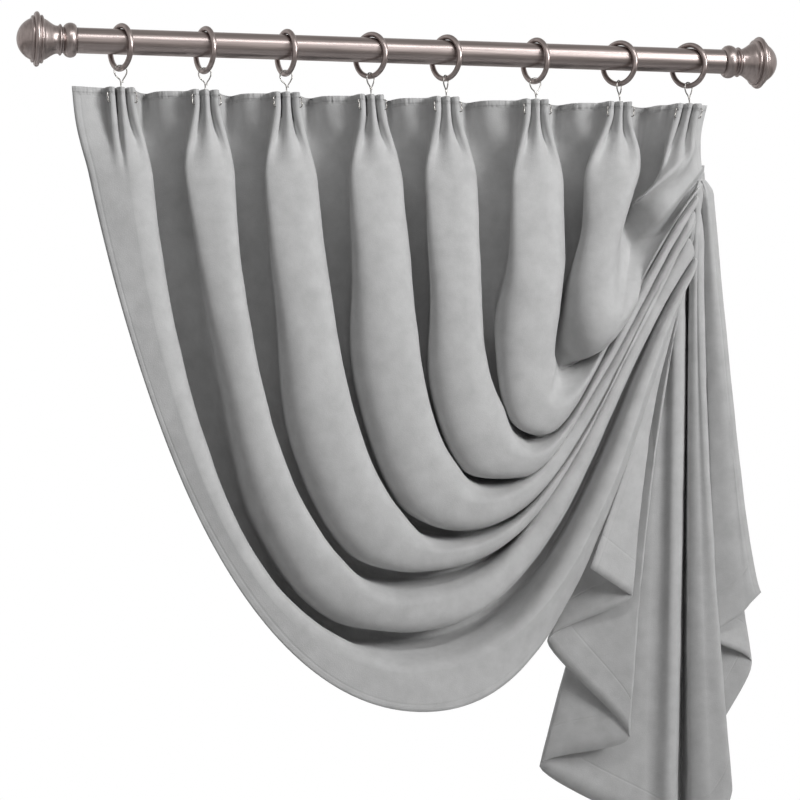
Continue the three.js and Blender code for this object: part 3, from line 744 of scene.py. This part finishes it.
for map_name, axis, distance, depth in SEAMS:
    lengths = add_node(tree, "ShaderNodeUVMap", {"uv_map": map_name})
    split = add_node(tree, "ShaderNodeSeparateXYZ", inputs={"Vector": lengths.outputs["UV"]})
    offset = add_node(tree, "ShaderNodeMath", {"operation": "SUBTRACT"}, {
        0: split.outputs[axis], 1: distance})
    away = add_node(tree, "ShaderNodeMath", {"operation": "ABSOLUTE"}, {
        0: offset.outputs["Value"]})
    groove = add_node(tree, "ShaderNodeMapRange", inputs={
        "Value": away.outputs["Value"], "From Max": SEAM_WIDTH / 2, "To Min": 1 - depth})
    if seams:
        both = add_node(tree, "ShaderNodeMath", {"operation": "MINIMUM"}, {
            0: seams, 1: groove.outputs["Result"]})
        seams = both.outputs["Value"]
    else:
        seams = groove.outputs["Result"]
heading = add_node(tree, "ShaderNodeUVMap", {"uv_map": "UVMap"})
stretched = add_node(tree, "ShaderNodeMapping", inputs={
    "Vector": heading.outputs["UV"], "Scale": (1 / PUCKER, 0.2 / PUCKER, 1)})
puckers = add_node(tree, "ShaderNodeTexNoise", inputs={
    "Vector": stretched.outputs["Vector"], "Scale": 1, "Detail": 1})
below = add_node(tree, "ShaderNodeSeparateXYZ", inputs={"Vector": heading.outputs["UV"]})
near_top = add_node(tree, "ShaderNodeMapRange", inputs={
    "Value": below.outputs["Y"], "From Min": 0.8 * PUCKERED, "From Max": PUCKERED,
    "To Min": 1, "To Max": 0})
pucker = add_node(tree, "ShaderNodeMath", {"operation": "MULTIPLY"}, {
    0: puckers.outputs["Fac"], 1: near_top.outputs["Result"]})
pucker_bump = add_node(tree, "ShaderNodeBump", inputs={
    "Height": pucker.outputs["Value"], "Strength": 1.0, "Distance": 3 * MM,
    "Normal": pile_bump.outputs["Normal"]})
seam_bump = add_node(tree, "ShaderNodeBump", inputs={
    "Height": seams, "Strength": 0.8, "Distance": 1 * MM,
    "Normal": pucker_bump.outputs["Normal"]})
tree.links.new(pile_colour, shader.inputs["Base Color"])
tree.links.new(seam_bump.outputs["Normal"], shader.inputs["Normal"])
shader.inputs["Roughness"].default_value = 0.95
shader.inputs["Specular IOR Level"].default_value = 0.2
shader.inputs["Sheen Weight"].default_value = 0.25
shader.inputs["Sheen Roughness"].default_value = 0.5
shader.inputs["Sheen Tint"].default_value = colour("#DCDCDC")
finish_piece(curtain, "curtain_cloth", velvet, "velvet", "curtain")
print("cloth material:", velvet.name)

# %% [markdown]
# ## Hang the hooks
#
# Each hook stands at its pleat's ridge line. The top of its eye touches the inside of the
# ring's lowest point, as the CAD hook does, so it is read from the CAD hook's box.

# %% Add the hooks
for number, turn in enumerate(EYE_TURNS, start=1):
    ridge = FOLD_LINES[2 * number - 1]
    eye_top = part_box(f"hook_{number}")[1].z / MM - HOOK_WIRE
    points = hook_points(ridge["head"][0], eye_top, math.radians(turn), ridge["lean"])
    finish_piece(wire_piece(points, HOOK_WIRE, "hook"), f"pleat_hook_{number}", steel_wire,
                 "steel_wire", f"hook_{number}")
print("hooks:", len(EYE_TURNS))

# %% [markdown]
# Two short wire prongs of each hook show on the front of the header, one on each side of the
# pleat. Each comes out of the cloth, runs down over the outer finger and goes in again.

# %% Add the prongs
# Place in the half pleat, then millimetres: the top below the header's top, the length, the
# wire's radius, how far it stands off the cloth's middle, the length of its bends and how far
# it bows out between them. NUDGE is a short step across the cloth, to find its direction.
PRONG_PLACE = 0.245
PRONG_TOP = 6
PRONG_LENGTH = 11
PRONG_WIRE = 0.6
PRONG_LIFT = 2.6
PRONG_BEND = 0.6
PRONG_BOW = 0.2
NUDGE = 0.01
for number in range(1, RING_COUNT + 1):
    for side in (-1, 1):
        across = 2 * number - 1 + side * PRONG_PLACE
        end = PRONG_TOP + PRONG_LENGTH
        outline = [(PRONG_TOP, 0), (PRONG_TOP + PRONG_BEND, PRONG_LIFT),
                   (PRONG_TOP + PRONG_LENGTH / 2, PRONG_LIFT + PRONG_BOW),
                   (end - PRONG_BEND, PRONG_LIFT), (end, 0)]
        beside = pinch_point(across + NUDGE, 0) - pinch_point(across - NUDGE, 0)
        outward = np.array([beside[1], -beside[0], 0]) / np.linalg.norm(beside)
        points = [pinch_point(across, depth) + outward * lift for depth, lift in outline]
        finish_piece(wire_piece(points, PRONG_WIRE, "prong"),
                     f"prong_{number}_{'left' if side < 0 else 'right'}", steel_wire,
                     "steel_wire")
print("prongs:", 2 * RING_COUNT)

# %% [markdown]
# ## Studio
#
# The curtain was photographed against white. A pale floor lies well below it. A large soft
# box on the right lights the right side of each fold. It is aimed at the upper left and has
# a grid, so the tail gets less of it. A long soft strip above the camera draws the bright
# line along the rod, and a box behind shows the cloth's back. The back box would bleach the
# rims of the metal, so it stays out of reflections. The surroundings fill the rest.

# %% Floor
FLOOR_DEPTH = 1.35
FLOOR_SIZE = 4.2
bpy.ops.mesh.primitive_plane_add(size=FLOOR_SIZE, location=(-0.3, 0, -FLOOR_DEPTH))
floor = bpy.context.object
floor.name = "floor"
floor_paint, tree, shader = new_material("matt white floor paint")
shader.inputs["Base Color"].default_value = colour("#E6E6E6")
shader.inputs["Roughness"].default_value = 0.9
floor.data.materials.append(floor_paint)
print("floor:", FLOOR_SIZE, "m wide,", FLOOR_DEPTH, "m below the rod")

# %% Lights
def soft_box(name, location, target, width, height, power):
    """A rectangular soft light at a place, aimed at a target."""
    bpy.ops.object.light_add(type="AREA", location=location)
    box = bpy.context.object
    box.name = name
    box.data.shape = "RECTANGLE"
    box.data.size, box.data.size_y = width, height
    box.data.energy = power
    aim = Vector(target) - Vector(location)
    box.rotation_euler = aim.to_track_quat("-Z", "Y").to_euler()
    return box


key = soft_box("key", (2.2, -2.8, 0.9), (-0.35, 0, -0.02), 1.2, 1.2, 17.5)
key.data.spread = math.radians(70)
back = soft_box("back", (-1.2, 2.6, 0.5), (0, 0, -0.45), 1.6, 1.6, 75)
back.visible_glossy = False
soft_box("strip", (0.4, -1.9, 1.6), (0, 0, -0.2), 3.2, 0.4, 28)
print("lights:", key.name, back.name, "and strip")

# %% [markdown]
# The surroundings do three jobs. The camera sees plain white. The cloth gets an even, dim
# fill. The metal reflects a room: pale walls and ceiling, with a dark band below the
# horizon that draws the rod's dark line.

# %% Surroundings
FILL = "#434343"
world = bpy.data.worlds.new("studio")
bpy.context.scene.world = world
world.use_nodes = True
tree = world.node_tree
sky = tree.nodes["Background"]
direction = add_node(tree, "ShaderNodeTexCoord").outputs["Generated"]
height = add_node(tree, "ShaderNodeSeparateXYZ", inputs={"Vector": direction})
upward = add_node(tree, "ShaderNodeMapRange", inputs={
    "Value": height.outputs["Z"], "From Min": -1, "From Max": 1})
walls = ramp(tree, upward.outputs["Result"], [
    (0.0, "#808080"), (0.2, "#C4C0BC"), (0.31, "#B4B0AC"), (0.33, "#181818"),
    (0.355, "#181818"), (0.38, "#DCD8D6"), (0.7, "#E4E2E0"), (1.0, "#B0AEAC")])
rays = add_node(tree, "ShaderNodeLightPath")
lit = add_node(tree, "ShaderNodeMixRGB", inputs={
    "Fac": rays.outputs["Is Glossy Ray"], "Color1": colour(FILL), "Color2": walls})
shown = add_node(tree, "ShaderNodeMixRGB", inputs={
    "Fac": rays.outputs["Is Camera Ray"], "Color1": lit.outputs["Color"],
    "Color2": colour("#FFFFFF")})
tree.links.new(shown.outputs["Color"], sky.inputs["Color"])
sky.inputs["Strength"].default_value = 1.0
bpy.context.scene.view_settings.view_transform = "Standard"
print("world:", world.name)

# %% [markdown]
# ## Camera
#
# The horizon lies half-way up the photograph and the rod's far end looks smaller, so the
# camera stands level, to the left of the curtain, and looks about 13 degrees to the right.

# %% Camera
CAMERA_PLACE = (-0.6574, -2.730, -0.3916)
CAMERA_TURN = math.radians(-13.32)
LENS = 112.5
SENSOR = 36
bpy.ops.object.camera_add(location=CAMERA_PLACE, rotation=(math.pi / 2, 0, CAMERA_TURN))
camera = bpy.context.object
camera.data.lens = LENS
camera.data.sensor_width = SENSOR
bpy.context.scene.camera = camera
print("camera:", LENS, "mm lens")
